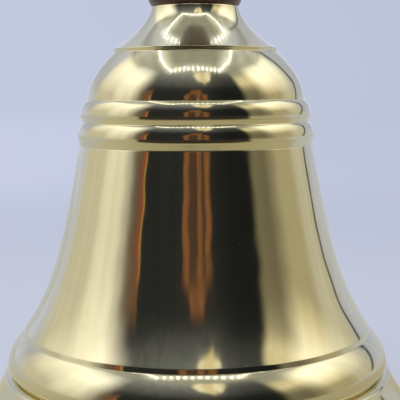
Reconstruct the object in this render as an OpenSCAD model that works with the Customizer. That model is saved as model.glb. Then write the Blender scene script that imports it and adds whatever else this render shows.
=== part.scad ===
// Hand-rung ship's bell: a turned and polished brass bell on a turned hardwood handle.
// A threaded tie rod clamps the bell to the handle, and a clapper hangs from an eye on its lower end.
// The origin is the centre of the mouth, on the plane of the rim. +Z runs up through the handle.
// Heights called _z are measured up from the rim, and radii called _r from the axis.

/* [Bell] */
// Height of the bell, from the rim to the seat of the handle
bell_h = 112.2; // [111.6:0.2:113]
// Radius of the mouth at the lip
mouth_r = 60; // [59.4:0.2:62]
// Thickness of the wall through the waist
wall = 3.2; // [2.8:0.1:3.6]
// Thickness of the crown under the handle
crown_t = 6.2; // [5.8:0.2:7]
// Radius of the hole through the crown
crown_bore_r = 3.3; // [3.1:0.1:3.6]

/* [Crown and shoulder] */
// Radius of the seat of the handle
seat_r = 11.4; // [11:0.1:12]
// Radius of the narrow band below the neck
neck_r = 21.75; // [21.4:0.05:22.2]
// Lower edge of the band below the neck
neck_z = 100.2; // [99.8:0.1:100.6]
// Height of the band below the neck
neck_band_h = 1.2; // [0.9:0.1:1.4]
// Radius at the foot of the domed shoulder
shoulder_r = 28.7; // [28.3:0.1:29]
// Height of the foot of the domed shoulder
shoulder_z = 88; // [87.7:0.1:88.3]

/* [Beads] */
// Outermost radius of the upper bead
upper_bead_r = 30.4; // [30.2:0.1:30.6]
// Middle height of the upper bead
upper_bead_z = 84.3; // [84.1:0.1:84.5]
// Outermost radius of the lower bead
lower_bead_r = 31.2; // [31:0.1:31.5]
// Middle height of the lower bead
lower_bead_z = 78.8; // [78.7:0.1:79]
// Radius to which both beads are turned in section
bead_round = 5.6; // [5.3:0.1:6]
// Half the height of the part of each bead below its middle
bead_low_h = 0.8; // [0.7:0.1:0.9]
// Amount by which the band under each bead tapers in
band_taper = 0.3; // [0.2:0.05:0.4]

/* [Waist and sound bow] */
// Radius of the top of the waist
waist_r = 30.75; // [30.6:0.05:30.9]
// Height of the top of the waist
waist_z = 76.1; // [75.9:0.1:76.3]
// Radius of the foot of the waist
bow_r = 45.8; // [45.4:0.1:46]
// Height of the foot of the waist
bow_z = 28.2; // [27.9:0.1:28.5]
// Height of the plain band between the waist and the sound bow
bow_band_h = 1.35; // [1.1:0.05:1.6]
// Outermost radius of the sound bow
bulge_r = 50.6; // [50.4:0.1:51]
// Height at which the sound bow is widest
bulge_z = 19.2; // [19:0.1:19.5]
// Radius at the bottom of the groove above the lip
groove_r = 49.1; // [48.8:0.1:49.4]
// Height of the groove above the lip
groove_z = 17.1; // [17:0.1:17.2]
// Thickness of the lip at the rim
lip_t = 4.7; // [4.4:0.1:5]

/* [Handle] */
// Height of the wood, from its seat on the bell to its top
handle_h = 116; // [112:1:122]
// Outermost radius of the collar at the foot of the handle
collar_r = 12.7; // [12.4:0.1:13.2]
// Height of the collar at the foot of the handle
collar_h = 8.2; // [7.8:0.1:8.6]
// Smallest radius of the handle, just above the collar
handle_neck_r = 7.4; // [7:0.1:8]
// Height above its seat at which the grip is widest
grip_z = 66; // [62:1:70]
// Largest radius of the grip
grip_r = 13.2; // [12.4:0.1:14.4]
// Radius of the small bead below the top of the handle
top_bead_r = 10.6; // [10.2:0.1:11]
// Radius of the hole along the handle
handle_bore_r = 3.4; // [3.2:0.1:3.8]

/* [Tie rod and fittings] */
// Radius of the tie rod over its thread
rod_r = 2.95; // [2.9:0.01:2.97]
// Width across the flats of the crown nut and the eye nut
nut_af = 10; // [9.6:0.1:10.4]
// Height of the crown nut
nut_h = 5; // [4.6:0.1:5.4]
// Radius of the plain washer under the crown
washer_r = 8; // [7.6:0.1:8.6]
// Height of the finial at the top of the handle
finial_h = 15; // [14.4:0.2:16]

/* [Clapper] */
// Radius of the wire of the fixed eye
eye_wire_r = 1.6; // [1.5:0.05:1.7]
// Radius of the fixed eye, to the middle of its wire
eye_ring_r = 5.6; // [5.4:0.1:6]
// Radius of the wire of the oval link
link_wire_r = 1.2; // [1.1:0.05:1.3]
// Distance between the centres of the two round ends of the link
link_pitch = 8; // [7.6:0.2:9]
// Radius of the wire of the eye on the clapper
shank_eye_wire_r = 1.3; // [1.2:0.05:1.4]
// Radius of the shank of the clapper
shank_r = 2.5; // [2.3:0.1:2.6]
// Radius of the clapper ball
ball_r = 11.5; // [11:0.1:12]
// Height of the middle of the clapper ball when it hangs at rest
ball_z = 17.5; // [17.3:0.1:18.5]
// Slack between two wires that hook through each other
hook_gap = 0.25; // [0.2:0.05:0.3]

/* [Hidden] */
$fn = 96;
curve_steps = 12;
overlap = 1;

brass = "#c9b878";
wood = "#4a241a";
steel = "#a7aaae";

// Stack of fittings hanging below the crown
ceiling_r = 9.5;
ceiling_z = bell_h - crown_t;
plain_washer_h = 1.2;
spring_washer_h = 1.6;
spring_washer_r = 5.4;
spring_washer_split = 1.2;
nut_top_z = ceiling_z - plain_washer_h - spring_washer_h;
eye_top_z = nut_top_z - nut_h;
eye_collar_h = 6;
eye_ring_z = eye_top_z - eye_collar_h - eye_ring_r + 0.6;
thread_gap = 0.05;
nut_bore_r = rod_r + thread_gap;

// Mouldings of the crown and the beads
neck_curve_r = seat_r + 1;
neck_curve_z = neck_z + 6.8;
neck_edge = 0.35;
neck_band_taper = 0.2;
dome_curve_r = shoulder_r - 0.4;
dome_curve_z = shoulder_z + 5.9;
bead_top_h = 3.5;
upper_band_r = upper_bead_r - 0.2;
lower_band_r = lower_bead_r - 0.2;

// Points that steer the curve of the waist, upper and lower
waist_curve_r = [34.7, 37.5];
waist_curve_z = [55.4, 40];

// Edge of the band above the sound bow
band_edge_r = bow_r + 0.3;
bow_top_z = bow_z - bow_band_h;

// Flare of the lip below the groove
flare_r = groove_r + 2.75;
flare_z = groove_z - 1.4;
flare_curve_r = [flare_r + 1.45, mouth_r - 4.8];
flare_curve_z = [12, 9];
rim_round_z = 4.6;
lip_inner_r = mouth_r - lip_t - 1;

// Inside of the sound bow, the shoulder and the crown
bow_inner_r = bow_r - wall - 0.2;
bow_curve_r = 47;
bow_curve_z = 12;
waist_inner_r = waist_r - wall;
shoulder_inner_r = shoulder_r - wall;
bead_curve_z = 83;
dome_inner_curve_z = 94.4;
dome_inner_r = 19;
dome_inner_z = 98;

// Turning of the handle, with heights measured up from its seat
collar_round = 8.3;
collar_middle = 0.55;
collar_edge_r = 10.6;
neck_top_h = 7;
neck_curve_h = 32;
grip_curve_h = grip_z - 26;
grip_top_h = 102;
grip_top_r = 8;
grip_fall_h = [grip_z + 20, 91];
top_bead_round = 2.6;

// Points about which the link and the clapper swing
link_pivot_z = eye_ring_z - eye_ring_r;
link_bend_r = eye_wire_r + hook_gap + link_wire_r;
link_low_z = link_pivot_z - link_pitch;
clapper_pivot_z = link_low_z - link_bend_r;
shank_eye_r = link_wire_r + hook_gap + shank_eye_wire_r;

// Clapper fittings
ball_flat_r = 4.5;
ball_flat_h = sqrt(ball_r * ball_r - ball_flat_r * ball_flat_r);
jam_nut_af = 8;
jam_nut_h = 4;
end_nut_r = 4;
end_nut_h = 2.6;
shank_taper_h = 4;
shank_end_z = ball_z - ball_flat_h - end_nut_h + 1;

// Top of the handle
handle_top_z = bell_h + handle_h;
tenon_r = 8.2;
tenon_h = 5;
ferrule_t = 1.1;
ferrule_rim_r = 0.7;
ferrule_top_z = handle_top_z + ferrule_t;
rod_top_z = ferrule_top_z + finial_h - 5;
rod_low_z = eye_top_z - eye_collar_h + 1.2;

// The point a share t of the way from a to b
function between(a, b, t) = a * (1 - t) + b * t;

// A curve from a to c that starts and ends pointing at b
function bend(a, b, c) = [
    for (i = [0 : curve_steps])
        let (t = i / curve_steps)
        between(between(a, b, t), between(b, c, t), t)
];

// A curve from a to d that leaves a towards b and reaches d from c
function sweep(a, b, c, d) = [
    for (i = [0 : curve_steps])
        let (t = i / curve_steps)
        between(
            between(between(a, b, t), between(b, c, t), t),
            between(between(b, c, t), between(c, d, t), t),
            t
        )
];

// A round arc about a centre, from one angle to another
function arc(centre, r, from, to) = [
    for (i = [0 : curve_steps])
        let (angle = between(from, to, i / curve_steps))
        centre + r * [cos(angle), sin(angle)]
];

// A bead of outermost radius out at height z, from the height top above its middle down to low below it
function bead(out, z, top, low) = arc(
    [out - bead_round, z], bead_round, asin(top / bead_round), -asin(low / bead_round)
);

// Outside of the bell, from the handle seat down to the foot of the beads
function bell_upper_outline() = concat(
    bend([seat_r, bell_h], [neck_curve_r, neck_curve_z], [neck_r - neck_edge, neck_z + neck_band_h]),
    [[neck_r, neck_z + neck_band_h - 0.2], [neck_r - neck_band_taper, neck_z]],
    bend([neck_r + 0.1, neck_z], [dome_curve_r, dome_curve_z], [shoulder_r, shoulder_z]),
    bead(upper_bead_r, upper_bead_z, shoulder_z - upper_bead_z, bead_low_h),
    [
        [upper_band_r, upper_bead_z - bead_low_h - 0.05],
        [upper_band_r - band_taper, lower_bead_z + bead_top_h + 0.05]
    ],
    bead(lower_bead_r, lower_bead_z, bead_top_h, bead_low_h),
    [
        [lower_band_r, lower_bead_z - bead_low_h - 0.05],
        [lower_band_r - band_taper, waist_z + 0.1]
    ]
);

// Outside of the bell, from the waist down to the groove above the lip
function bell_lower_outline() = concat(
    sweep(
        [waist_r, waist_z],
        [waist_curve_r[0], waist_curve_z[0]],
        [waist_curve_r[1], waist_curve_z[1]],
        [bow_r, bow_z]
    ),
    [[band_edge_r - 0.12, bow_z - 0.15], [band_edge_r + 0.1, bow_top_z]],
    sweep(
        [bow_r + 0.5, bow_top_z],
        [bow_r + 2.9, bow_top_z - 2.2],
        [bulge_r, bulge_z + 1.7],
        [bulge_r, bulge_z]
    ),
    bend([bulge_r, bulge_z - 0.1], [bulge_r, groove_z + 0.2], [groove_r, groove_z + 0.2]),
    bend([groove_r, groove_z - 0.2], [groove_r + 2.4, groove_z - 0.2], [groove_r + 2.7, groove_z - 1.2])
);

// Flared lip and flat rim
function lip_outline() = concat(
    sweep(
        [flare_r, flare_z],
        [flare_curve_r[0], flare_curve_z[0]],
        [flare_curve_r[1], flare_curve_z[1]],
        [mouth_r - 0.9, rim_round_z + 0.1]
    ),
    bend([mouth_r - 0.8, rim_round_z], [mouth_r, 3.8], [mouth_r, 2.6]),
    bend([mouth_r, 2.5], [mouth_r, 0], [mouth_r - 2, 0]),
    bend([mouth_r - lip_t + 0.9, 0], [mouth_r - lip_t - 0.4, 0], [lip_inner_r + 0.1, 1.8])
);

// Inside of the bell, from the lip up to the ceiling of the crown
function bell_inner_outline() = concat(
    bend([lip_inner_r, 2], [bow_curve_r, bow_curve_z], [bow_inner_r, bow_z + 0.1]),
    sweep(
        [bow_inner_r, bow_z + 0.2],
        [waist_curve_r[1] - wall, waist_curve_z[1] + 0.4],
        [waist_curve_r[0] - wall, waist_curve_z[0]],
        [waist_inner_r, waist_z]
    ),
    bend(
        [waist_inner_r, waist_z + 0.1],
        [waist_inner_r - 0.6, bead_curve_z],
        [shoulder_inner_r, shoulder_z]
    ),
    bend(
        [shoulder_inner_r, shoulder_z + 0.1],
        [shoulder_inner_r - 0.6, dome_inner_curve_z],
        [dome_inner_r, dome_inner_z]
    ),
    bend(
        [dome_inner_r - 0.2, dome_inner_z + 0.1],
        [ceiling_r + 2, ceiling_z - 4.6],
        [ceiling_r, ceiling_z]
    )
);

// Outside of the handle, up from its seat over the collar, the neck, the grip, the bead and the tenon
function handle_outline() = concat(
    [[handle_bore_r, 0], [seat_r - 0.4, 0], [seat_r, 0.25]],
    arc([collar_r - collar_round, collar_h * collar_middle], collar_round, -30, 26),
    bend(
        [collar_edge_r, collar_h + 0.1],
        [handle_neck_r, collar_h + 1.4],
        [handle_neck_r, collar_h + neck_top_h]
    ),
    sweep(
        [handle_neck_r, collar_h + neck_top_h + 0.2],
        [handle_neck_r, neck_curve_h],
        [grip_r, grip_curve_h],
        [grip_r, grip_z]
    ),
    sweep(
        [grip_r, grip_z + 0.2],
        [grip_r, grip_fall_h[0]],
        [grip_top_r + 0.2, grip_fall_h[1]],
        [grip_top_r, grip_top_h]
    ),
    arc([top_bead_r - top_bead_round, grip_top_h + 4], top_bead_round, -80, 80),
    [
        [tenon_r + ferrule_t + 0.2, handle_h - tenon_h - 0.6],
        [tenon_r + ferrule_t + 0.2, handle_h - tenon_h],
        [tenon_r, handle_h - tenon_h],
        [tenon_r, handle_h - 0.5],
        [tenon_r - 0.5, handle_h],
        [handle_bore_r, handle_h]
    ]
);

// The brass bell: neck, domed shoulder, two beads, waist, sound bow and flared lip
module bell() {
    color(brass)
        rotate_extrude()
            polygon(concat(
                [[crown_bore_r, bell_h]],
                bell_upper_outline(),
                bell_lower_outline(),
                lip_outline(),
                bell_inner_outline(),
                [[crown_bore_r, ceiling_z]]
            ));
}

// The turned hardwood handle
module handle() {
    color(wood)
        translate([0, 0, bell_h])
            rotate_extrude()
                polygon(handle_outline());
}

// The brass cup over the top of the wood, with a rolled rim
module top_ferrule() {
    color(brass)
        rotate_extrude() {
            translate([0, handle_top_z])
                polygon(concat(
                    [
                        [rod_r + 0.25, 0],
                        [tenon_r + 0.05, 0],
                        [tenon_r + 0.05, -tenon_h + 0.1],
                        [tenon_r + ferrule_t, -tenon_h + 0.1]
                    ],
                    bend(
                        [tenon_r + ferrule_t, -1],
                        [tenon_r + ferrule_t, ferrule_t],
                        [tenon_r - 1, ferrule_t]
                    ),
                    [[rod_r + 0.25, ferrule_t]]
                ));
            translate([tenon_r + ferrule_t, handle_top_z - tenon_h + 0.1 + ferrule_rim_r])
                circle(ferrule_rim_r);
        }
}

// The turned brass finial that screws down on the top of the tie rod
module finial_nut() {
    color(brass)
        translate([0, 0, ferrule_top_z])
            rotate_extrude()
                polygon(concat(
                    [[nut_bore_r, 0], [6, 0], [6.4, 0.4], [6.4, 1.6]],
                    bend([6.2, 1.8], [4, 2], [4, 4]),
                    bend([4.3, 4.2], [6.9, 5], [6.6, 8]),
                    sweep([6.6, 8.1], [6.3, 12], [2.2, 12.2], [1.5, finial_h - 0.9]),
                    bend([1.5, finial_h - 0.8], [1.4, finial_h], [0, finial_h]),
                    [[0, finial_h - 4.6], [nut_bore_r, finial_h - 4.6]]
                ));
}

// The threaded rod that clamps the bell to the handle
module tie_rod() {
    color(steel)
        translate([0, 0, rod_low_z])
            cylinder(r = rod_r, h = rod_top_z - rod_low_z);
}

// A flat ring
module ring(outer_r, inner_r, h) {
    difference() {
        cylinder(r = outer_r, h = h);
        translate([0, 0, -overlap])
            cylinder(r = inner_r, h = h + 2 * overlap);
    }
}

// The plain washer under the ceiling of the crown
module crown_washer() {
    color(brass)
        translate([0, 0, ceiling_z - plain_washer_h])
            ring(washer_r, rod_r + 0.25, plain_washer_h);
}

// The split spring washer between the plain washer and the nut
module lock_washer() {
    color(steel)
        translate([0, 0, nut_top_z])
            difference() {
                ring(spring_washer_r, rod_r + 0.15, spring_washer_h);
                translate([spring_washer_r, 0, spring_washer_h / 2])
                    rotate([25, 0, 0])
                        cube([2 * spring_washer_r, spring_washer_split, 4 * spring_washer_h], center = true);
            }
}

// A hexagonal body with its corners turned off at both ends
module hex_body(af, h) {
    corner_r = af / sqrt(3);
    chamfer = 0.6;
    intersection() {
        cylinder(r = corner_r, h = h, $fn = 6);
        union() {
            cylinder(r1 = af / 2, r2 = af / 2 + 2 * chamfer, h = chamfer);
            translate([0, 0, chamfer])
                cylinder(r = af / 2 + 2 * chamfer, h = h - 2 * chamfer);
            translate([0, 0, h - chamfer])
                cylinder(r1 = af / 2 + 2 * chamfer, r2 = af / 2, h = chamfer);
        }
    }
}

// The nut that holds the bell against the handle
module crown_nut() {
    color(steel)
        translate([0, 0, eye_top_z])
            difference() {
                hex_body(nut_af, nut_h);
                translate([0, 0, -overlap])
                    cylinder(r = nut_bore_r, h = nut_h + 2 * overlap);
            }
}

// A ring of round wire in the XZ plane
module upright_ring(ring_r, wire_r) {
    rotate([90, 0, 0])
        rotate_extrude()
            translate([ring_r, 0])
                circle(wire_r);
}

// The eye nut: a hexagonal collar on the rod, and the fixed eye that carries the clapper
module eye_nut() {
    color(steel)
        difference() {
            union() {
                translate([0, 0, eye_top_z - eye_collar_h])
                    hex_body(nut_af, eye_collar_h);
                translate([0, 0, eye_ring_z])
                    upright_ring(eye_ring_r, eye_wire_r);
            }
            translate([0, 0, rod_low_z - 0.2])
                cylinder(r = nut_bore_r, h = eye_collar_h + overlap);
        }
}

// The oval link, in the YZ plane, that joins the fixed eye to the eye of the clapper
module clapper_link() {
    color(steel)
        union() {
            for (side = [-1, 1])
                translate([0, side * link_bend_r, link_low_z])
                    cylinder(r = link_wire_r, h = link_pitch);
            translate([0, 0, link_pivot_z])
                rotate([90, 0, 90])
                    rotate_extrude(angle = 180)
                        translate([link_bend_r, 0])
                            circle(link_wire_r);
            translate([0, 0, link_low_z])
                rotate([-90, 0, 90])
                    rotate_extrude(angle = 180)
                        translate([link_bend_r, 0])
                            circle(link_wire_r);
        }
}

// The shank of the clapper, with its eye at the top
module clapper_shank() {
    neck_z = clapper_pivot_z - shank_eye_r;
    color(steel)
        union() {
            translate([0, 0, clapper_pivot_z])
                upright_ring(shank_eye_r, shank_eye_wire_r);
            rotate_extrude()
                polygon([
                    [0, shank_end_z],
                    [shank_r, shank_end_z],
                    [shank_r, neck_z - shank_taper_h],
                    [shank_eye_wire_r + 0.3, neck_z - 0.4],
                    [0, neck_z - 0.4]
                ]);
        }
}

// The brass ball, drilled for the shank and spot-faced at both ends
module clapper_ball() {
    color(brass)
        translate([0, 0, ball_z])
            difference() {
                intersection() {
                    sphere(ball_r);
                    cylinder(r = ball_r + overlap, h = 2 * ball_flat_h, center = true);
                }
                cylinder(r = shank_r + thread_gap, h = 2 * ball_r + 2 * overlap, center = true);
            }
}

// The nut above the ball
module ball_jam_nut() {
    color(steel)
        translate([0, 0, ball_z + ball_flat_h])
            difference() {
                hex_body(jam_nut_af, jam_nut_h);
                translate([0, 0, -overlap])
                    cylinder(r = shank_r + thread_gap, h = jam_nut_h + 2 * overlap);
            }
}

// The low domed nut below the ball
module ball_end_nut() {
    color(brass)
        translate([0, 0, ball_z - ball_flat_h - end_nut_h])
            rotate_extrude()
                polygon(concat(
                    [[0, 0]],
                    bend([1.6, 0], [end_nut_r, 0.1], [end_nut_r, 1.7]),
                    [
                        [end_nut_r, end_nut_h],
                        [shank_r + thread_gap, end_nut_h],
                        [shank_r + thread_gap, 0.9],
                        [0, 0.9]
                    ]
                ));
}

bell();
handle();
top_ferrule();
finial_nut();
tie_rod();
crown_washer();
lock_washer();
crown_nut();
eye_nut();
clapper_link();
clapper_shank();
clapper_ball();
ball_jam_nut();
ball_end_nut();
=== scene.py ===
"""Looks of a hand-rung brass ship's bell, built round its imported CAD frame.

Metres, in the CAD frame: the origin is the centre of the mouth, on the rim's plane, and +Z runs up through
the handle. Outlines are in millimetres.
"""

import math

import bmesh
import bpy
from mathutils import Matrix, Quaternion, Vector


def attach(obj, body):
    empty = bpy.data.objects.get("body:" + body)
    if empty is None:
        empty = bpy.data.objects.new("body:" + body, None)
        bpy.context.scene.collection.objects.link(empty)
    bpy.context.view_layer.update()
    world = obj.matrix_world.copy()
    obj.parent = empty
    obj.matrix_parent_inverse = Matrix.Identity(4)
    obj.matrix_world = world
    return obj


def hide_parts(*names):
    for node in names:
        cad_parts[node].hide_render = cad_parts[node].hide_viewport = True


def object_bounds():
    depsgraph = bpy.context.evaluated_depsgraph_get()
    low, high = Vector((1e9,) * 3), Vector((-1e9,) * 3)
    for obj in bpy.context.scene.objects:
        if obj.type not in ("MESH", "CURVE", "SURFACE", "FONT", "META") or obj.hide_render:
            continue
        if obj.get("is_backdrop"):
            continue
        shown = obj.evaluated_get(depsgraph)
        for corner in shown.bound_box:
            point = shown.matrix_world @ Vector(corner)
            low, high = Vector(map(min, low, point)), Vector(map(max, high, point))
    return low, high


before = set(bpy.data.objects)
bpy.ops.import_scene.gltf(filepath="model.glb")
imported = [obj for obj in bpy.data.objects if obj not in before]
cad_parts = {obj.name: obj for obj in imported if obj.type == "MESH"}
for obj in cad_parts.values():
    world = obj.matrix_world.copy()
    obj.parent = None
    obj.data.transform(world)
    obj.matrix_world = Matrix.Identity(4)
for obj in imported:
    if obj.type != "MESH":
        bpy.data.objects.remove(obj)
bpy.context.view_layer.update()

MM = 0.001
BELL_SEGMENTS, HANDLE_SEGMENTS, FITTING_SEGMENTS, SHANK_SEGMENTS = 200, 128, 96, 48
# an outline point nearer the axis than this, in millimetres, lies on it
NO_RADIUS = 1e-6


# ---------------------------------------------------------------- camera

CAMERA_AT = (0.00117, -0.2557, 0.0907)
CAMERA_PITCH = 6.59
CAMERA_ROLL = 0.34
CAMERA_LENS = 86.3

cam_data = bpy.data.cameras.new("camera")
cam_data.lens = CAMERA_LENS
cam_data.sensor_width = 36
cam_data.clip_start = 0.01
cam_data.clip_end = 50
cam = bpy.data.objects.new("camera", cam_data)
bpy.context.scene.collection.objects.link(cam)
cam.location = CAMERA_AT
cam.rotation_euler = (math.radians(90 - CAMERA_PITCH), math.radians(CAMERA_ROLL), 0)
bpy.context.scene.camera = cam
bpy.context.scene.view_settings.view_transform = "Standard"
bpy.context.scene.view_settings.look = "None"


# ---------------------------------------------------------------- node helpers


class Graph:
    """A short way to write a node tree."""

    def __init__(self, tree):
        self.tree = tree
        tree.nodes.clear()

    def node(self, kind, **settings):
        made = self.tree.nodes.new(kind)
        for name, value in settings.items():
            setattr(made, name, value)
        return made

    def put(self, socket, value):
        if isinstance(value, bpy.types.NodeSocket):
            self.tree.links.new(value, socket)
        elif isinstance(value, (tuple, list)) and len(value) == 3 and socket.type == "RGBA":
            socket.default_value = (*value, 1)
        else:
            socket.default_value = value

    def math(self, operation, a, b=0.0, c=0.0):
        made = self.node("ShaderNodeMath", operation=operation)
        for i, value in enumerate((a, b, c)):
            self.put(made.inputs[i], value)
        return made.outputs[0]

    def times(self, first, *others):
        for other in others:
            first = self.math("MULTIPLY", first, other)
        return first

    def times_add(self, value, by, more):
        return self.math("MULTIPLY_ADD", value, by, more)

    def length(self, a, b):
        return self.math("SQRT", self.math("ADD", self.times(a, a), self.times(b, b)))

    def away(self, value, centre):
        """How far value is from centre."""
        return self.math("ABSOLUTE", self.math("SUBTRACT", value, centre))

    def ranged(self, kind, value, low, high, to_low, to_high):
        made = self.node("ShaderNodeMapRange", interpolation_type=kind)
        for i, v in enumerate((value, low, high, to_low, to_high)):
            self.put(made.inputs[i], v)
        return made.outputs[0]

    def smooth(self, value, low, high, to_low=0.0, to_high=1.0):
        return self.ranged("SMOOTHSTEP", value, low, high, to_low, to_high)

    def linear(self, value, low, high, to_low=0.0, to_high=1.0):
        return self.ranged("LINEAR", value, low, high, to_low, to_high)

    def band(self, value, low, high, soft):
        """1 between low and high, with soft edges."""
        rise = self.smooth(value, low - soft, low + soft)
        fall = self.smooth(value, high - soft, high + soft, 1.0, 0.0)
        return self.times(rise, fall)

    def mix(self, share, a, b, blend="MIX"):
        made = self.node("ShaderNodeMix", data_type="RGBA", blend_type=blend)
        self.put(made.inputs["Factor"], share)
        self.put(made.inputs[6], a)
        self.put(made.inputs[7], b)
        return made.outputs[2]

    def place(self, scale=(1, 1, 1), turn=(0, 0, 0), move=(0, 0, 0)):
        """Object coordinates, scaled."""
        where = self.node("ShaderNodeTexCoord")
        mapping = self.node("ShaderNodeMapping")
        self.tree.links.new(where.outputs["Object"], mapping.inputs["Vector"])
        mapping.inputs["Scale"].default_value = scale
        mapping.inputs["Rotation"].default_value = turn
        mapping.inputs["Location"].default_value = move
        return mapping.outputs["Vector"]

    def noise(self, vector, scale, detail=2.0, rough=0.5, distort=0.0):
        made = self.node("ShaderNodeTexNoise")
        self.put(made.inputs["Vector"], vector)
        made.inputs["Scale"].default_value = scale
        made.inputs["Detail"].default_value = detail
        made.inputs["Roughness"].default_value = rough
        made.inputs["Distortion"].default_value = distort
        return made.outputs["Fac"]

    def cells(self, vector, scale):
        made = self.node("ShaderNodeTexVoronoi", feature="F1")
        self.put(made.inputs["Vector"], vector)
        made.inputs["Scale"].default_value = scale
        return made.outputs["Distance"]

    def bump(self, height, distance, strength=1.0):
        made = self.node("ShaderNodeBump")
        made.inputs["Strength"].default_value = strength
        made.inputs["Distance"].default_value = distance
        self.put(made.inputs["Height"], height)
        return made.outputs["Normal"]

    def xyz(self, vector):
        made = self.node("ShaderNodeSeparateXYZ")
        self.put(made.inputs[0], vector)
        return made.outputs


def material(name):
    made = bpy.data.materials.new(name)
    made.use_nodes = True
    g = Graph(made.node_tree)
    out = g.node("ShaderNodeOutputMaterial")
    shader = g.node("ShaderNodeBsdfPrincipled")
    g.tree.links.new(shader.outputs[0], out.inputs["Surface"])
    return made, g, shader


# ---------------------------------------------------------------- materials

# how each set of fine scratches leans, and how much it is squeezed
SCRATCH_SETS = ((0.55, 900), (-0.8, 760), (1.25, 1150))
SCRATCH_SCALE = 60


def brass_material(name, tone, dark_tone, roughness, line_depth, tarnish, scratches):
    """Brass turned on a lathe and polished.

    Fine lines run round the axis, with specks and short scratches across them.
    """
    made, g, shader = material(name)
    cloud = g.noise(g.place((1, 1, 0.8)), 46, 4, 0.6)
    stain = g.noise(g.place((1, 1, 1.4), move=(0.3, 0.1, 0.7)), 90, 5, 0.65, 0.4)
    stain = g.smooth(stain, 0.52, 0.78)
    streak = g.noise(g.place((7, 7, 520)), 1.0, 3, 0.6)
    fine = g.noise(g.place((18, 18, 2600), move=(0.2, 0.5, 0.1)), 1.0, 2, 0.6)
    speck = g.smooth(g.cells(g.place(), 420), 0.07, 0.02)
    speck_here = g.smooth(g.noise(g.place(move=(1, 2, 3)), 130, 2), 0.56, 0.66)
    speck = g.times(speck, speck_here)

    scratch = 0.0
    for i, (tilt, squeeze) in enumerate(SCRATCH_SETS):
        vector = g.place((SCRATCH_SCALE,) * 3, turn=(0.3 * i, tilt, 0.9 * i))
        wide = g.node("ShaderNodeMapping")
        g.put(wide.inputs["Vector"], vector)
        wide.inputs["Scale"].default_value = (1, 0.9, squeeze / SCRATCH_SCALE)
        ridge = g.cells(wide.outputs[0], 1.3)
        here = g.smooth(g.noise(g.place(move=(i, 0, 5)), 150, 2), 0.6, 0.68)
        line = g.times(g.smooth(ridge, 0.05, 0.0), here)
        scratch = g.math("MAXIMUM", scratch, line)
    scratch = g.times(scratch, scratches)

    stained = tuple(a * b for a, b in zip(dark_tone, (0.72, 0.66, 0.5)))
    colour = g.mix(g.times(cloud, 0.55), tone, dark_tone)
    colour = g.mix(g.times(stain, tarnish), colour, stained)
    colour = g.mix(g.times(speck, 0.5), colour, (0.86, 0.82, 0.7))
    g.put(shader.inputs["Base Color"], colour)
    shader.inputs["Metallic"].default_value = 1.0
    shader.inputs["Anisotropic"].default_value = 0.8
    shader.inputs["Anisotropic Rotation"].default_value = 0.25
    tangent = g.node("ShaderNodeTangent", direction_type="RADIAL", axis="Z")
    g.put(shader.inputs["Tangent"], tangent.outputs[0])

    rough = g.times_add(cloud, 0.05, roughness - 0.02)
    rough = g.times_add(streak, 0.05, g.math("SUBTRACT", rough, 0.02))
    rough = g.times_add(stain, 0.35 * tarnish, rough)
    rough = g.times_add(g.math("MAXIMUM", scratch, speck), 0.25, rough)
    g.put(shader.inputs["Roughness"], rough)

    height = g.times_add(fine, 0.4, streak)
    height = g.times_add(scratch, -0.8, height)
    height = g.times_add(speck, 0.8, height)
    g.put(shader.inputs["Normal"], g.bump(height, line_depth))
    return made


def wood_material(name):
    """Dark red-brown hardwood under satin varnish, with the grain along the handle."""
    made, g, shader = material(name)
    bend = g.noise(g.place((1, 1, 0.35), move=(0.4, 0, 0)), 38, 3, 0.5)
    x, y, z = g.xyz(g.place())
    # growth rings run along the handle about a centre that lies outside it
    ring_x = g.math("ADD", x, g.times_add(bend, 0.006, 0.024))
    ring_y = g.math("ADD", y, 0.009)
    ring = g.times_add(z, 0.012, g.length(ring_x, ring_y))
    wave = g.math("SINE", g.times(ring, 2800))
    wave = g.linear(wave, -1, 1)
    fibre = g.noise(g.place((420, 420, 16)), 1.0, 4, 0.65, 0.3)
    pores = g.smooth(g.cells(g.place((1400, 1400, 55)), 1.0), 0.34, 0.12)
    mottled = g.noise(g.place((1, 1, 0.4), move=(2, 0, 1)), 70, 3, 0.55)

    colour = g.mix(wave, (0.050, 0.0165, 0.0095), (0.094, 0.030, 0.0155))
    colour = g.mix(g.times(fibre, 0.6), colour, (0.036, 0.0115, 0.007))
    colour = g.mix(g.smooth(mottled, 0.35, 0.75, 0.0, 0.5), colour, (0.125, 0.040, 0.019))
    colour = g.mix(g.times(pores, 0.75), colour, (0.011, 0.005, 0.0035))
    g.put(shader.inputs["Base Color"], colour)
    g.put(shader.inputs["Roughness"], g.times_add(fibre, 0.16, 0.30))
    shader.inputs["Coat Weight"].default_value = 0.35
    shader.inputs["Coat Roughness"].default_value = 0.2
    shader.inputs["Coat IOR"].default_value = 1.5
    shader.inputs["Specular IOR Level"].default_value = 0.3
    height = g.times_add(fibre, 0.6, g.times(pores, -0.9))
    turned = g.noise(g.place((14, 14, 1500)), 1.0, 2)
    height = g.times_add(turned, 0.25, height)
    g.put(shader.inputs["Normal"], g.bump(height, 0.00005, 0.8))
    return made


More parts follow.
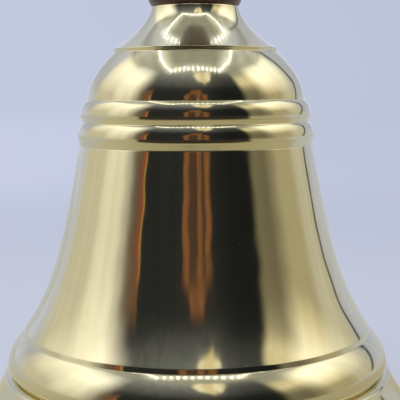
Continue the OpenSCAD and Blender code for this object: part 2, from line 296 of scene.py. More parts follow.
def steel_material(name, tone, tint, roughness, line_scale, line_depth):
    """Plated or drawn steel. line_scale stretches the fine marks along x, y and z."""
    made, g, shader = material(name)
    cloud = g.noise(g.place(), 260, 4, 0.6)
    spangle = g.cells(g.place(), 900)
    marks = g.noise(g.place(line_scale), 1.0, 3, 0.6)
    pits = g.smooth(g.cells(g.place(move=(3, 1, 2)), 1500), 0.12, 0.03)
    colour = g.mix(cloud, tone, tint)
    colour = g.mix(g.times(spangle, 0.35), colour, tuple(part * 1.15 for part in tone))
    colour = g.mix(g.times(pits, 0.6), colour, (0.16, 0.145, 0.13))
    g.put(shader.inputs["Base Color"], colour)
    shader.inputs["Metallic"].default_value = 1.0
    rough = g.times_add(cloud, 0.16, roughness - 0.05)
    g.put(shader.inputs["Roughness"], g.times_add(marks, 0.08, rough))
    height = g.times_add(pits, -0.8, marks)
    g.put(shader.inputs["Normal"], g.bump(height, line_depth))
    return made


PALE_BRASS = (0.82, 0.755, 0.55)
DEEP_BRASS = (0.72, 0.66, 0.43)
POLISHED_LINES, FITTING_LINES, INSIDE_LINES = 0.0000025, 0.000004, 0.00003
STEEL_MARKS, SPRING_MARKS = 0.000006, 0.00001
polished_brass = brass_material("brass_polished", PALE_BRASS, DEEP_BRASS, 0.085, POLISHED_LINES, 0.16, 1.0)
fitting_brass = brass_material("brass_fitting", PALE_BRASS, DEEP_BRASS, 0.13, FITTING_LINES, 0.3, 1.0)
inside_brass = brass_material(
    "brass_turned_inside", (0.66, 0.53, 0.28), (0.50, 0.385, 0.19), 0.34, INSIDE_LINES, 0.8, 0.4
)
hardwood = wood_material("hardwood_varnished")
zinc_steel = steel_material(
    "steel_zinc_plated", (0.60, 0.61, 0.62), (0.50, 0.49, 0.46), 0.30, (300, 300, 300), STEEL_MARKS
)
wire_steel = steel_material(
    "steel_drawn_wire", (0.56, 0.56, 0.56), (0.42, 0.41, 0.39), 0.27, (220, 220, 220), STEEL_MARKS
)
turned_steel = steel_material(
    "steel_turned", (0.62, 0.62, 0.62), (0.50, 0.50, 0.49), 0.24, (20, 20, 2400), STEEL_MARKS
)
spring_steel = steel_material(
    "steel_spring_dark", (0.20, 0.20, 0.21), (0.13, 0.125, 0.12), 0.36, (300, 300, 300), SPRING_MARKS
)


# ---------------------------------------------------------------- outlines, in millimetres


def between(a, b, t):
    return tuple(p * (1 - t) + q * t for p, q in zip(a, b))


def bend(a, b, c, steps=20):
    """A curve from a to c that starts and ends pointing at b."""
    return [between(between(a, b, i / steps), between(b, c, i / steps), i / steps) for i in range(steps + 1)]


def sweep(a, b, c, d, steps=32):
    """A curve from a to d that leaves a towards b and reaches d from c."""
    line = []
    for i in range(steps + 1):
        t = i / steps
        ab, bc, cd = between(a, b, t), between(b, c, t), between(c, d, t)
        line.append(between(between(ab, bc, t), between(bc, cd, t), t))
    return line


def arc(centre, radius, start, end, steps=20):
    line = []
    for i in range(steps + 1):
        angle = math.radians(start + (end - start) * i / steps)
        line.append((centre[0] + radius * math.cos(angle), centre[1] + radius * math.sin(angle)))
    return line


# a bead's lower half is turned to this radius; its upper half leans back by these degrees on the way up
BEAD_TURNED = 5.6
BEAD_SLOPES = ((0.0, 0.0), (0.5, 21), (0.78, 34), (0.9, 44), (1.0, 54))


def bead(out, z, top, low, drop, steps=26):
    """A turned bead, outermost at radius out and height z.

    Its top curls over, and ends drop inside the outermost radius.
    """
    upper = [(0.0, 0.0)]
    for i in range(steps):
        share = (i + 0.5) / steps
        for (s0, a0), (s1, a1) in zip(BEAD_SLOPES, BEAD_SLOPES[1:]):
            if s0 <= share <= s1:
                slope = a0 + (a1 - a0) * (share - s0) / (s1 - s0)
        back = upper[-1][0] + math.tan(math.radians(slope)) * top / steps
        upper.append((back, top * (i + 1) / steps))
    fit = drop / upper[-1][0]
    lowest = -math.degrees(math.asin(low / BEAD_TURNED))
    below = arc((out - BEAD_TURNED, z), BEAD_TURNED, -1, lowest, 8)
    return [(out - r * fit, z + h) for r, h in reversed(upper)] + below


# a cut takes at most this share of a side; sides this many cuts long get a point this many cuts away
CUT_SHARE, LONG_SIDE, SUPPORT = 0.45, 6, 2.2


def soften(line, cut=0.14, least=14, steps=4):
    """Rounds each corner that turns by more than least degrees, from cut before it to cut after it.

    A long straight on either side gets one more point, which keeps the shading flat there.
    """
    made = [line[0]]
    for before, here, after in zip(line, line[1:], line[2:]):
        a = (here[0] - before[0], here[1] - before[1])
        b = (after[0] - here[0], after[1] - here[1])
        la, lb = math.hypot(*a), math.hypot(*b)
        cross, dot = a[0] * b[1] - a[1] * b[0], a[0] * b[0] + a[1] * b[1]
        if math.degrees(abs(math.atan2(cross, dot))) < least:
            made.append(here)
            continue
        da, db = min(cut, CUT_SHARE * la), min(cut, CUT_SHARE * lb)
        if la > LONG_SIDE * da:
            made.append(between(here, before, SUPPORT * da / la))
        made += bend(between(here, before, da / la), here, between(here, after, db / lb), steps)
        if lb > LONG_SIDE * db:
            made.append(between(here, after, SUPPORT * db / lb))
    made.append(line[-1])
    return made


def tidy_line(line, least=0.012):
    """Drops points closer than least to the one before."""
    made = [line[0]]
    for point in line[1:]:
        if math.dist(point, made[-1]) > least:
            made.append(point)
    return made


BELL_H, CEILING_Z, CROWN_BORE_R = 112.2, 106.0, 3.3
# from the handle's seat down to the rim: neck, its band, shoulder, two beads, waist, step, bow, groove, lip
bell_outer = (
    bend((11.4, BELL_H), (12.4, 107.0), (21.4, 101.4), 30)
    + [(21.75, 101.2), (21.55, 100.2)]
    + bend((21.85, 100.2), (28.3, 93.9), (28.7, 88), 32)
    + bead(30.4, 84.3, 3.7, 0.8, 1.6)
    + [(30.2, 83.45), (29.9, 82.35)]
    + bead(31.2, 78.8, 3.5, 0.8, 1.35)
    + [(31.0, 77.95), (30.7, 76.2)]
    + sweep((30.75, 76.1), (34.7, 55.4), (37.5, 40), (45.8, 28.2), 46)
    + [(45.9, 28.05), (46.2, 26.85)]
    + sweep((46.3, 26.85), (48.5, 24.86), (50.6, 21.9), (50.6, 19.2), 30)
    + bend((50.6, 19.1), (50.6, 17.3), (49.1, 17.3), 12)
    + bend((49.1, 16.9), (51.5, 16.9), (51.8, 15.9), 10)
    + sweep((51.85, 15.7), (53.3, 12), (55.2, 9), (59.1, 4.7), 26)
    + bend((59.2, 4.6), (60, 3.8), (60, 2.6), 8)
    + bend((60, 2.5), (60, 0), (58, 0), 10)
)
# from the rim up to the ceiling
bell_inner = (
    bend((56.2, 0), (54.9, 0), (54.4, 1.8), 8)
    + bend((54.3, 2), (47, 12), (42.4, 28.3), 22)
    + sweep((42.4, 28.4), (34.3, 40.4), (31.5, 55.4), (27.55, 76.1), 26)
    + bend((27.55, 76.2), (26.95, 83), (25.5, 88), 8)
    + bend((25.5, 88.1), (24.9, 94.4), (19, 98), 14)
    + bend((18.8, 98.1), (11.5, 101.4), (9.5, CEILING_Z), 12)
)


# ---------------------------------------------------------------- mesh helpers


def finish_mesh(name, bm, materials, body, slot, *nodes):
    """A visible piece that rides on a body and takes the place of CAD nodes."""
    mesh = bpy.data.meshes.new(name)
    bmesh.ops.recalc_face_normals(bm, faces=bm.faces)
    bm.to_mesh(mesh)
    bm.free()
    for made in materials:
        mesh.materials.append(made)
    mesh.polygons.foreach_set("use_smooth", [True] * len(mesh.polygons))
    piece = bpy.data.objects.new(name, mesh)
    bpy.context.scene.collection.objects.link(piece)
    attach(piece, body)
    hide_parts(*nodes)


def lathe(bm, line, segments, closed=True, slot_of=None, wave=None):
    """Turns an outline, in millimetres, about the Z axis.

    A point on the axis becomes one vertex. wave gives a change of radius, and slot_of a row's material.
    """
    rings = []
    for index, (radius, z) in enumerate(line):
        if radius < NO_RADIUS:
            rings.append([bm.verts.new((0, 0, z * MM))])
            continue
        ring = []
        for k in range(segments):
            angle = 2 * math.pi * k / segments
            r = radius + (wave(index, angle, radius, z) if wave else 0.0)
            ring.append(bm.verts.new((r * MM * math.cos(angle), r * MM * math.sin(angle), z * MM)))
        rings.append(ring)
    pairs = list(zip(rings, rings[1:]))
    if closed:
        pairs.append((rings[-1], rings[0]))
    for index, (a, b) in enumerate(pairs):
        for k in range(segments):
            n = (k + 1) % segments
            if len(a) == 1 and len(b) == 1:
                break
            if len(a) == 1:
                corners = (a[0], b[k], b[n])
            elif len(b) == 1:
                corners = (a[k], b[0], a[n])
            else:
                corners = (a[k], b[k], b[n], a[n])
            face = bm.faces.new(corners)
            if slot_of:
                face.material_index = slot_of(index)


def wire_loop(bm, path, radius, sides):
    """A round wire along a closed path of points, in metres."""
    count = len(path)
    points = [Vector(p) for p in path]
    tangents = [(points[(i + 1) % count] - points[i - 1]).normalized() for i in range(count)]
    normal = tangents[0].orthogonal().normalized()
    rings = []
    for i in range(count):
        if i:
            axis = tangents[i - 1].cross(tangents[i]).normalized()
            normal.rotate(Quaternion(axis, tangents[i - 1].angle(tangents[i])))
        side = tangents[i].cross(normal).normalized()
        up = side.cross(tangents[i]).normalized()
        turns = [2 * math.pi * k / sides for k in range(sides)]
        ring = [points[i] + (up * math.cos(turn) + side * math.sin(turn)) * radius for turn in turns]
        rings.append([bm.verts.new(point) for point in ring])
    for i in range(count):
        a, b = rings[i], rings[(i + 1) % count]
        for k in range(sides):
            n = (k + 1) % sides
            bm.faces.new((a[k], a[n], b[n], b[k]))


# ---------------------------------------------------------------- the bell

outer_line = soften(tidy_line(bell_outer))
inner_line = tidy_line(bell_inner)
crown_bore = [(CROWN_BORE_R, CEILING_Z), (CROWN_BORE_R, BELL_H)]
crown_line = soften([inner_line[-1], *crown_bore, outer_line[0]])[1:-1]
bell_line = outer_line + inner_line + crown_line
outer_count = len(outer_line)
inside_from, inside_to = outer_count + 3, outer_count + len(inner_line) + 2
POLISH_WAVE, POLISH_FROM_Z = 0.0075, 3


def hand_polish(index, angle, radius, z):
    """The slight waves that polishing by hand leaves on the outside, in millimetres."""
    if index >= outer_count or z < POLISH_FROM_Z:
        return 0.0
    swirl = 0.8 * math.sin(5 * angle + 0.21 * z) + 0.9 * math.sin(9 * angle - 0.33 * z + 1.3)
    swirl += 1.0 * math.sin(14 * angle + 0.43 * z + 0.4) + 0.75 * math.sin(23 * angle - 0.52 * z + 2.1)
    swirl += 0.35 * math.sin(37 * angle + 0.71 * z + 0.9)
    return POLISH_WAVE * swirl * radius / 35


def bell_slot(row):
    """The rows of the inside take the second material."""
    return 1 if inside_from <= row < inside_to else 0


bm = bmesh.new()
lathe(bm, bell_line, BELL_SEGMENTS, slot_of=bell_slot, wave=hand_polish)
finish_mesh("bell_shell", bm, [polished_brass, inside_brass], "root", "brass", "bell")

# ---------------------------------------------------------------- the handle

HANDLE_H = 116.0
handle_outer = (
    [(3.4, 0), (11.0, 0), (11.4, 0.25)]
    + arc((4.4, 4.51), 8.3, -30, 26, 24)
    + bend((10.6, 8.3), (7.4, 9.6), (7.4, 15.2), 20)
    + sweep((7.4, 15.4), (7.4, 32), (13.2, 40), (13.2, 66), 36)
    + sweep((13.2, 66.2), (13.2, 86), (8.2, 91), (8, 102), 32)
    + arc((8.0, 106), 2.6, -80, 80, 20)
    + [(9.5, 110.4), (9.5, 111), (8.2, 111), (8.2, 115.5), (7.7, HANDLE_H), (3.4, HANDLE_H)]
)


def lathe_piece(name, line, segments, made, slot, node, base, cut, least=14):
    """A turned piece of the root body, with its outline's zero at height base."""
    line = soften(tidy_line(line), cut, least)
    bm = bmesh.new()
    lathe(bm, [(r, z + base) for r, z in line], segments)
    finish_mesh(name, bm, [made], "root", slot, node)


lathe_piece("handle_wood", handle_outer, HANDLE_SEGMENTS, hardwood, "hardwood", "handle", BELL_H, 0.3, 18)

# ---------------------------------------------------------------- the brass fittings on top

HANDLE_TOP = BELL_H + HANDLE_H
FERRULE_RISE = 1.1
FERRULE_TOP = HANDLE_TOP + FERRULE_RISE


def groove(radius, z, depth=0.14, half=0.2):
    """A fine turned line cut into a straight wall, going up."""
    return [(radius, z - half), (radius - depth, z), (radius, z + half)]


lathe_piece(
    "ferrule_cup",
    [(3.2, 0), (8.25, 0), (8.25, -4.9), (9.2, -4.9)] + arc((9.3, -4.2), 0.7, -88, 88, 16)
    + groove(9.3, -2.6) + groove(9.3, -1.9)
    + bend((9.3, -1), (9.3, FERRULE_RISE), (7.2, FERRULE_RISE), 14) + [(3.2, FERRULE_RISE)],
    FITTING_SEGMENTS, fitting_brass, "brass", "top_ferrule", HANDLE_TOP, 0.1,
)
lathe_piece(
    "finial_turned",
    [(3.0, 0), (6, 0), (6.4, 0.4), (6.4, 1.6)] + bend((6.2, 1.8), (4, 2), (4, 4), 14)
    + bend((4.3, 4.2), (6.9, 5), (6.6, 8), 16) + sweep((6.6, 8.1), (6.3, 12), (2.2, 12.2), (1.5, 14.1), 26)
    + bend((1.5, 14.2), (1.4, 15), (0.0001, 15), 12) + [(0.0001, 10.4), (3.0, 10.4)],
    FITTING_SEGMENTS, fitting_brass, "brass", "finial_nut", FERRULE_TOP, 0.1,
)

# ---------------------------------------------------------------- the clapper shank

SHANK_R, SHANK_END_Z, SHANK_TOP_Z, SHANK_CHAMFER = 2.5, 5.317, 67.4, 0.3
THREAD_LOW, THREAD_TOP, THREAD_PITCH, THREAD_DEPTH = 27.0, 37.0, 0.8, 0.42
THREAD_ROWS_PER_PITCH = 10
PIVOT_Z, EYE_R, EYE_WIRE_R = 70.55, 2.75, 1.3
EYE_STEPS, EYE_SIDES = 64, 24


def thread_wave(index, angle, radius, z):
    """How far the M5 thread cuts in from the outside, in millimetres."""
    if radius < SHANK_R - NO_RADIUS or z > THREAD_TOP or z < THREAD_LOW:
        return 0.0
    turn = (z / THREAD_PITCH - angle / (2 * math.pi)) % 1.0
    run_out = min(1.0, (THREAD_TOP - z) / 1.2, (z - THREAD_LOW) / 0.8)
    return -THREAD_DEPTH * max(0.0, 1 - abs(2 * turn - 1) * 1.25) * run_out


shank_line = [(0.0, SHANK_END_Z), (SHANK_R - SHANK_CHAMFER, SHANK_END_Z)]
shank_line += [(SHANK_R, SHANK_END_Z + SHANK_CHAMFER), (SHANK_R, 26.9)]
rows = int((THREAD_TOP - THREAD_LOW) / THREAD_PITCH * THREAD_ROWS_PER_PITCH)
shank_line += [(SHANK_R, THREAD_LOW + (THREAD_TOP - THREAD_LOW) * i / rows) for i in range(rows + 1)]
shank_line += [(SHANK_R, 37.3), (SHANK_R, 50), (SHANK_R, 63.4)]
shank_line += bend((SHANK_R, 63.8), (2.3, 66.2), (1.6, SHANK_TOP_Z), 10) + [(0.0, SHANK_TOP_Z)]
bm = bmesh.new()
lathe(bm, shank_line, SHANK_SEGMENTS, closed=False, wave=thread_wave)
eye_turns = [2 * math.pi * k / EYE_STEPS for k in range(EYE_STEPS)]
eye = [(EYE_R * MM * math.sin(turn), 0.0, (PIVOT_Z - EYE_R * math.cos(turn)) * MM) for turn in eye_turns]
wire_loop(bm, eye, EYE_WIRE_R * MM, EYE_SIDES)
finish_mesh("clapper_rod", bm, [turned_steel], "clapper", "steel", "clapper_shank")

# ---------------------------------------------------------------- the studio


def stage_mesh(name, bm, made, place, glossy_only=True):
    """A piece of the stage, which shows only in reflections unless glossy_only is off."""
    mesh = bpy.data.meshes.new(name)
    bm.to_mesh(mesh)
    bm.free()
    mesh.materials.append(made)
    obj = bpy.data.objects.new(name, mesh)
    obj.location = place
    bpy.context.scene.collection.objects.link(obj)
    obj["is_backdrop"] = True
    if glossy_only:
        obj.visible_camera = False
        obj.visible_diffuse = False
        obj.visible_transmission = False
        obj.visible_volume_scatter = False
        obj.visible_shadow = False


def glow(name, colour, strength=1.0, sampled=False):
    """An emitter. Only a sampled one is aimed at by light sampling."""
    made = bpy.data.materials.new(name)
    made.use_nodes = True
    g = Graph(made.node_tree)
    out = g.node("ShaderNodeOutputMaterial")
    light = g.node("ShaderNodeEmission")
    g.put(light.inputs["Color"], colour)
    g.put(light.inputs["Strength"], strength)
    g.tree.links.new(light.outputs[0], out.inputs["Surface"])
    made.cycles.emission_sampling = "AUTO" if sampled else "NONE"
    return made, g, light, out


HORIZON = (0.520, 0.570, 0.715)
ZENITH = (0.505, 0.555, 0.700)
NEAR_FLOOR = (0.66, 0.67, 0.71)
LEFT_TINT, RIGHT_TINT = (1.06, 1.05, 1.04), (0.95, 0.95, 0.955)
FLOOR_SPOTS, FLOOR_LEFT, FLOOR_RIGHT = (0.61, 0.62, 0.67), (0.580, 0.618, 0.775), (0.515, 0.555, 0.695)
FLOOR_RADIUS, FLOOR_Z = 6.0, -0.0002


def tinted(colour, tint):
    return tuple(a * b for a, b in zip(colour, tint))


# The floor is pale near the bell. Further out it gives off the backdrop's own light, so that no
# horizon shows. It can be seen through from below.
floor_material, g, shader = material("floor_pale")
x, y, z = g.xyz(g.place())
distance = g.length(x, y)
mottle = g.noise(g.place(), 60, 3)
g.put(shader.inputs["Base Color"], g.mix(g.times(mottle, 0.15), NEAR_FLOOR, FLOOR_SPOTS))
shader.inputs["Roughness"].default_value = 0.9
shader.inputs["Specular IOR Level"].default_value = 0.1
far = g.node("ShaderNodeEmission")
sheet = g.mix(g.smooth(x, -0.3, 0.3), FLOOR_LEFT, FLOOR_RIGHT)
bearing = g.linear(g.math("DIVIDE", x, g.math("MAXIMUM", distance, 0.01)), -0.3, 0.3)
skyline = g.mix(bearing, tinted(HORIZON, LEFT_TINT), tinted(HORIZON, RIGHT_TINT))
g.put(far.inputs["Color"], g.mix(g.smooth(distance, 0.7, 4.5), sheet, skyline))
blend = g.node("ShaderNodeMixShader")
g.put(blend.inputs[0], g.smooth(distance, 0.16, 0.75))
g.tree.links.new(shader.outputs[0], blend.inputs[1])
g.tree.links.new(far.outputs[0], blend.inputs[2])
see_through = g.node("ShaderNodeBsdfTransparent")
side = g.node("ShaderNodeNewGeometry")
one_sided = g.node("ShaderNodeMixShader")
g.put(one_sided.inputs[0], side.outputs["Backfacing"])
g.tree.links.new(blend.outputs[0], one_sided.inputs[1])
g.tree.links.new(see_through.outputs[0], one_sided.inputs[2])
out = next(n for n in g.tree.nodes if n.type == "OUTPUT_MATERIAL")
g.tree.links.new(one_sided.outputs[0], out.inputs["Surface"])
floor_material.cycles.emission_sampling = "NONE"
bm = bmesh.new()
bmesh.ops.create_circle(bm, cap_ends=True, segments=96, radius=FLOOR_RADIUS)
stage_mesh("floor", bm, floor_material, (0, 0, FLOOR_Z), glossy_only=False)

# tints of the light tent round the bell, which shows only in reflections
NEUTRAL = (1.0, 1.0, 0.95)
CREAM = (1.03, 1.0, 0.84)
OLIVE = (1.10, 1.0, 0.68)
LAVENDER = (0.92, 1.0, 1.24)
GREY = (0.92, 1.0, 1.10)
NIGHT = (0.020, 0.024, 0.028)
TENT_STRENGTH, TENT_RADIUS, TENT_Z = 1.6, 4.0, 0.08
# from this elevation up the cloth is bleached by this much
HIGH_CLOTH, HIGH_BLEACH = 50, 0.6


def shade(level, tint):
    return tuple(level * part for part in tint)


def tent_shade(tint):
    """The colour that the tent shows as tint."""
    return shade(1 / TENT_STRENGTH, tint)


def directions(g):
    """How far round from the front a direction lies, in degrees, and the parts of its vector."""
    x, y, z = g.xyz(g.place())
    return g.times(g.math("ARCTAN2", x, g.times(y, -1)), 180 / math.pi), x, y, z


def column(g, height, tint, *stops):
    """How bright the tent is from low to high in one direction.

    Each stop is an elevation in degrees and a level. Bright cloth and high cloth are less tinted.
    """
    low, high = stops[0][0], stops[-1][0]
    made = g.node("ShaderNodeValToRGB")
    g.put(made.inputs[0], g.linear(height, low, high))
    row = made.color_ramp.elements
    for i, (at, level) in enumerate(stops):
        if i == 0:
            element = row[0]
        elif i == len(stops) - 1:
            element = row[len(row) - 1]
        else:
            element = row.new((at - low) / (high - low))
        bleach = HIGH_BLEACH if at >= HIGH_CLOTH else min(max((level - 0.75) / 0.8, 0.0), 0.7)
        paler = GREY if at >= HIGH_CLOTH else NEUTRAL
        warm = tuple((1 - bleach) * a + bleach * b for a, b in zip(tint, paler))
        element.color = (*shade(level / TENT_STRENGTH, warm), 1)
    return made.outputs[0]


tent_material, g, light, _ = glow("tent_walls", (1, 1, 1), TENT_STRENGTH)
azimuth, x, y, z = directions(g)
height = g.times(g.math("ARCTAN2", z, g.length(x, y)), 180 / math.pi)
around = g.math("ABSOLUTE", azimuth)

back = column(
    g, height, LAVENDER,
    (-60, 0.62), (-4, 0.76), (6, 0.70), (14, 0.70), (30, 0.62), (46, 0.62), (58, 0.85),
    (66, 0.7), (80, 0.36), (90, 0.4),
)
back_left = column(
    g, height, LAVENDER,
    (-60, 0.60), (-4, 0.68), (6, 0.65), (14, 0.55), (22, 0.54), (38, 0.66), (54, 0.66),
    (62, 0.85), (70, 0.6), (90, 0.5),
)
left_far = column(
    g, height, CREAM,
    (-60, 0.50), (-4, 0.57), (6, 0.65), (14, 0.67), (22, 0.88), (30, 1.08), (38, 1.3),
    (46, 1.45), (54, 0.66), (62, 0.60), (70, 0.8), (90, 0.6),
)
left_near = column(
    g, height, CREAM,
    (-60, 0.50), (-4, 0.68), (6, 0.80), (14, 0.94), (22, 1.08), (30, 1.18), (38, 1.45),
    (46, 1.5), (54, 0.95), (61, 0.58), (70, 0.8), (90, 0.6),
)
front = column(
    g, height, GREY,
    (-60, 0.018), (26, 0.018), (34, 0.029), (40, 0.072), (46, 0.10), (54, 0.16), (62, 0.28),
    (70, 0.42), (90, 0.42),
)
right_edge = column(
    g, height, OLIVE,
    (-60, 0.18), (-4, 0.16), (14, 0.17), (22, 0.20), (30, 0.36), (38, 0.8), (46, 0.7),
    (54, 0.36), (62, 0.6), (70, 0.8), (90, 0.6),
)
right_near = column(
    g, height, OLIVE,
    (-60, 0.36), (-4, 0.41), (14, 0.43), (22, 0.80), (30, 1.2), (38, 1.5), (46, 1.7),
    (54, 0.9), (62, 0.70), (70, 0.8), (90, 0.6),
)
right_far = column(
    g, height, CREAM,
    (-60, 0.50), (-4, 0.52), (14, 0.60), (22, 0.86), (30, 1.1), (38, 1.35), (46, 1.5),
    (54, 0.54), (62, 0.70), (70, 0.8), (90, 0.6),
)
back_right = column(
    g, height, LAVENDER,
    (-60, 0.55), (-4, 0.60), (14, 0.52), (30, 0.54), (46, 0.58), (54, 0.62), (62, 0.9),
    (70, 0.7), (90, 0.5),
)

# haze in the dark opening, thinner on its right
haze = g.times_add(g.noise(g.place((5.5, 5.5, 2.2), move=(3, 0, 1)), 1.0, 5, 0.65), 1.5, 0.28)
front = g.mix(1.0, front, g.times(haze, g.smooth(azimuth, 6, 36, 1.25, 0.6)), "MULTIPLY")

# the tent from the back round by the left and the front to the back, each sector with a soft start
wall = back
for start, end, next_wall in (
    (-166, -152, back_left), (-138, -120, left_far), (-102, -88, left_near),
    (-77, -50, front), (49, 57, right_edge), (67, 88, right_near),
    (98, 110, right_far), (122, 138, back_right), (152, 168, back),
):
    wall = g.mix(g.smooth(azimuth, start, end), wall, next_wall)

# soft folds in the cloth
fold = g.node("ShaderNodeCombineXYZ")
g.put(fold.inputs[0], azimuth)
g.put(fold.inputs[2], g.times(height, 0.12))
folds = g.noise(fold.outputs[0], 0.16, 3, 0.6)
soft_shade = g.times_add(folds, 0.4, 0.8)
wall = g.mix(1.0, wall, soft_shade, "MULTIPLY")

# brown shade on the left edge of the dark opening
edge_low = g.smooth(height, 23, 32, 1.0, 0.0)
brown = g.times(g.smooth(azimuth, -46, -50), g.smooth(azimuth, -54, -64, 1.0, 0.0))
wall = g.mix(g.times(brown, edge_low, 0.85), wall, tent_shade((0.17, 0.11, 0.065)))
# seam in the cloth on the right
seam_at = g.linear(height, -4, 16, 122, 137)
seam = g.smooth(g.away(azimuth, seam_at), 1.0, 2.6, 1.0, 0.0)
seam = g.times(seam, g.smooth(height, 52, 60, 1.0, 0.0))
wall = g.mix(g.times(seam, 0.93), wall, NIGHT)

# the ceiling: one greyish cream sheet, with fine ribs across it
ribs = g.math("SINE", g.times(y, 46))
sheet = g.times_add(g.noise(g.place((3, 3, 3)), 1.0, 3), 0.5, 0.72)
sheet = g.times_add(ribs, 0.04, sheet)
sheet = g.mix(1.0, shade(0.36 / TENT_STRENGTH, (1.0, 1.05, 0.93)), sheet, "MULTIPLY")
wall = g.mix(g.smooth(height, 58, 66), wall, sheet)
# grey shade and a thin dark line where the walls meet the ceiling
top_at = g.smooth(around, 70, 150, 58.5, 43)
from_top = g.math("SUBTRACT", height, top_at)
sides = g.band(around, 46, 168, 6)
wall = g.mix(g.times(g.band(from_top, -2.0, 5.0, 2.0), 0.55, sides), wall, tent_shade((0.30, 0.31, 0.27)))
wall = g.mix(g.times(g.band(from_top, -0.3, 0.3, 0.4), 0.6, sides), wall, tent_shade((0.10, 0.10, 0.09)))

# plain warm strips in the dark opening, which draw together and fade higher up into one solid patch
STRIPS = ((-8.2, 2.7), (2.6, 2.6), (10.2, 3.4))
drift = g.times_add(g.noise(g.place((2.2, 2.2, 0.9)), 1.0, 2), 5, g.math("ADD", azimuth, -2.5))
blotch = g.smooth(g.noise(g.place((14, 14, 2.5), move=(1, 0, 2)), 1.0, 3), 0.34, 0.60, 0.35, 1.0)
warm = 0.0
narrow = g.smooth(height, 18, 26, 1.0, 0.42)
for centre, width in STRIPS:
    offset = g.away(drift, g.times(narrow, centre))
    warm = g.math("MAXIMUM", warm, g.smooth(offset, width * 0.45, width * 1.25, 1.0, 0.0))
between_strips = g.times(g.band(drift, -8, 9, 1.5), 0.22)
solid = g.times(g.band(drift, -5.0, 6.5, 1.0), g.band(height, 22.5, 31, 1.6))
warm = g.times(g.math("MAXIMUM", warm, between_strips), g.smooth(height, 21, 25, 1.0, 0.15))
warm = g.math("MAXIMUM", warm, solid)
warm = g.times(warm, g.smooth(height, 29.5, 32, 1.0, 0.0), g.smooth(height, -20, -4))
wall = g.mix(g.times(warm, blotch), wall, tent_shade((0.31, 0.135, 0.05)))
# a cream patch above them
PATCH_CENTRE = 10.5
ragged = g.times_add(g.noise(g.place((3, 3, 3), move=(4, 1, 0)), 1.0, 2), 8, g.math("ADD", azimuth, -4))
patch_width = g.math("ADD", g.smooth(height, 42, 52.5, 0.9, 9.6), g.linear(height, 50, 62, 0.0, 5.5))
patch_edge = g.math("SUBTRACT", g.away(ragged, PATCH_CENTRE), patch_width)
patch = g.times(g.smooth(patch_edge, -1.2, 1.2, 1.0, 0.0), g.band(height, 42.5, 63, 1.0))
creased = g.smooth(g.math("SINE", g.times_add(ragged, 0.42, 0.6)), -0.4, 1.0)
cloth = g.mix(creased, tent_shade((0.82, 0.72, 0.44)), tent_shade((1.02, 0.98, 0.80)))
wall = g.mix(patch, wall, cloth)
# a red and a yellow line at the left edge of the opening
low = g.times(g.band(height, -16, 31, 3), g.smooth(height, 17, 20, 1.0, 0.25))
wall = g.mix(g.times(low, g.band(azimuth, -51, -49.2, 0.4)), wall, tent_shade((0.36, 0.06, 0.05)))
wall = g.mix(g.times(low, g.band(azimuth, -48.4, -47.2, 0.4)), wall, tent_shade((0.50, 0.32, 0.08)))
g.put(light.inputs["Color"], wall)
bm = bmesh.new()
bmesh.ops.create_uvsphere(bm, u_segments=64, v_segments=32, radius=TENT_RADIUS)
stage_mesh("tent", bm, tent_material, (0, 0, TENT_Z))

# the ground as the bell reflects it: cream at the sides, bluish behind, and dark out in front
GROUND_RADIUS, GROUND_Z = 3.9, -0.0001
ground_material, g, light, _ = glow("ground_reflected", (1, 1, 1))
azimuth, x, y, z = directions(g)
near = g.mix(g.smooth(azimuth, -95, -35), (0.57, 0.55, 0.42), (0.43, 0.40, 0.26))
near = g.mix(g.smooth(azimuth, 40, 95), near, (0.48, 0.44, 0.31))
near = g.mix(g.smooth(y, 0.03, 0.14), near, (0.55, 0.58, 0.62))
dark = g.times(g.smooth(y, -0.215, -0.245), g.band(azimuth, -56, 52, 3))
near = g.mix(dark, near, (0.035, 0.030, 0.026))
g.put(light.inputs["Color"], near)
bm = bmesh.new()
bmesh.ops.create_circle(bm, cap_ends=True, segments=96, radius=GROUND_RADIUS)
stage_mesh("ground_reflected", bm, ground_material, (0, 0, GROUND_Z))

# a ring of small lamps under the ceiling of the tent, with a glow round it
LAMP_Z, LAMP_R, LAMP_STRENGTH, LAMP_SIDES = 0.5, 0.0038, 14.0, 10
# lamps of the front row are drawn out towards the bell
FRONT_STRETCH = 2.4
FRONT_LAMPS, BACK_LAMPS, SIDE_LAMPS = 12, 14, 16
RING_FRONT, RING_BACK = -0.172, 0.19
RING_CORNER_X, RING_SIDE_X, RING_BACK_X = 0.152, 0.178, 0.14
RING_BOW = RING_SIDE_X - 0.5 * (RING_CORNER_X + RING_BACK_X)
HALO_REACH, HALO, HALO_FALL, HALO_GAP = 0.06, 0.55, 1.7, 0.002
lamp, _, _, _ = glow("lamp_spot", (0.95, 0.98, 1.0), LAMP_STRENGTH, sampled=True)


def ring_side(t):
    """The side of the ring from its front corner to its back corner, bowed outwards."""
    x = RING_CORNER_X + (RING_BACK_X - RING_CORNER_X) * t + 4 * t * (1 - t) * RING_BOW
    return x, RING_FRONT + (RING_BACK - RING_FRONT) * t


def lamp_row(half_width, y, count):
    return [(half_width * (2 * i / (count - 1) - 1), y) for i in range(count)]


spots = lamp_row(RING_CORNER_X, RING_FRONT, FRONT_LAMPS) + lamp_row(RING_BACK_X, RING_BACK, BACK_LAMPS)
for i in range(1, SIDE_LAMPS + 1):
    x, y = ring_side(i / (SIDE_LAMPS + 1))
    spots += [(-x, y), (x, y)]
bm = bmesh.new()
turns = [2 * math.pi * k / LAMP_SIDES for k in range(LAMP_SIDES)]
for x, y in spots:
    deep = LAMP_R * (FRONT_STRETCH if y == RING_FRONT else 1.0)
    bm.faces.new([bm.verts.new((x + LAMP_R * math.cos(a), y + deep * math.sin(a), 0)) for a in turns])
stage_mesh("lamp_ring", bm, lamp, (0, 0, LAMP_Z))

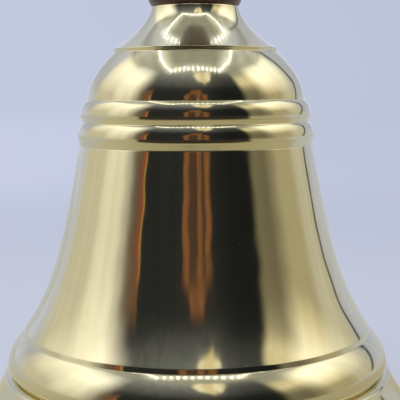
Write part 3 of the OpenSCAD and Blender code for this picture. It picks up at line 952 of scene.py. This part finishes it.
glow_material, g, light, out = glow("lamp_glow", (0.95, 0.98, 0.97))
x, y, z = g.xyz(g.place())
middle_y = (RING_FRONT + RING_BACK) / 2
beyond_x = g.math("SUBTRACT", g.math("ABSOLUTE", x), 0.5 * (RING_CORNER_X + RING_SIDE_X))
beyond_y = g.math("SUBTRACT", g.away(y, middle_y), (RING_BACK - RING_FRONT) / 2)
outside = g.length(g.math("MAXIMUM", beyond_x, 0.0), g.math("MAXIMUM", beyond_y, 0.0))
inside = g.math("MINIMUM", g.math("MAXIMUM", beyond_x, beyond_y), 0.0)
reach = g.times_add(inside, -0.8, outside)
halo = g.math("POWER", g.smooth(reach, 0.0, HALO_REACH, 1.0, 0.0), HALO_FALL)
g.put(light.inputs["Strength"], g.times(halo, HALO))
clear = g.node("ShaderNodeBsdfTransparent")
both = g.node("ShaderNodeAddShader")
g.tree.links.new(clear.outputs[0], both.inputs[0])
g.tree.links.new(light.outputs[0], both.inputs[1])
g.tree.links.new(both.outputs[0], out.inputs["Surface"])
bm = bmesh.new()
card = [(sx * 0.3, middle_y + sy * 0.35, 0) for sx, sy in ((-1, -1), (1, -1), (1, 1), (-1, 1))]
bm.faces.new([bm.verts.new(corner) for corner in card])
stage_mesh("lamp_glow", bm, glow_material, (0, 0, LAMP_Z + HALO_GAP))

# even light for everything that isn't a mirror, and the plain backdrop
world = bpy.data.worlds.new("backdrop")
bpy.context.scene.world = world
world.use_nodes = True
g = Graph(world.node_tree)
out = g.node("ShaderNodeOutputWorld")
sky = g.node("ShaderNodeBackground")
where = g.node("ShaderNodeTexCoord")
x, y, z = g.xyz(where.outputs["Generated"])
backdrop = g.mix(g.smooth(z, 0.0, 0.35), HORIZON, ZENITH)
on_left, on_right = (g.mix(1.0, backdrop, tint, "MULTIPLY") for tint in (LEFT_TINT, RIGHT_TINT))
backdrop = g.mix(g.linear(x, -0.3, 0.3), on_left, on_right)
g.put(sky.inputs["Color"], backdrop)
g.tree.links.new(sky.outputs[0], out.inputs["Surface"])

PANEL_SIZE, PANEL_POWER, PANEL_AT = (0.5, 0.6), 3.0, (-0.06, -0.02, 0.85)
panel_light = bpy.data.lights.new("overhead_panel", "AREA")
panel_light.shape = "RECTANGLE"
panel_light.size, panel_light.size_y = PANEL_SIZE
panel_light.energy = PANEL_POWER
panel_light.color = (1.0, 0.985, 0.96)
panel = bpy.data.objects.new("overhead_panel", panel_light)
panel.location = PANEL_AT
panel.visible_glossy = False
panel.visible_camera = False
bpy.context.scene.collection.objects.link(panel)

# materials for the CAD nodes that are kept
kept = {
    "tie_rod": turned_steel,
    "crown_washer": fitting_brass,
    "lock_washer": spring_steel,
    "crown_nut": zinc_steel,
    "eye_nut": zinc_steel,
    "clapper_link": wire_steel,
    "clapper_ball": fitting_brass,
    "ball_jam_nut": zinc_steel,
    "ball_end_nut": fitting_brass,
}
for node, made in kept.items():
    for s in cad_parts[node].material_slots:
        s.material = made

low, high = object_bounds()
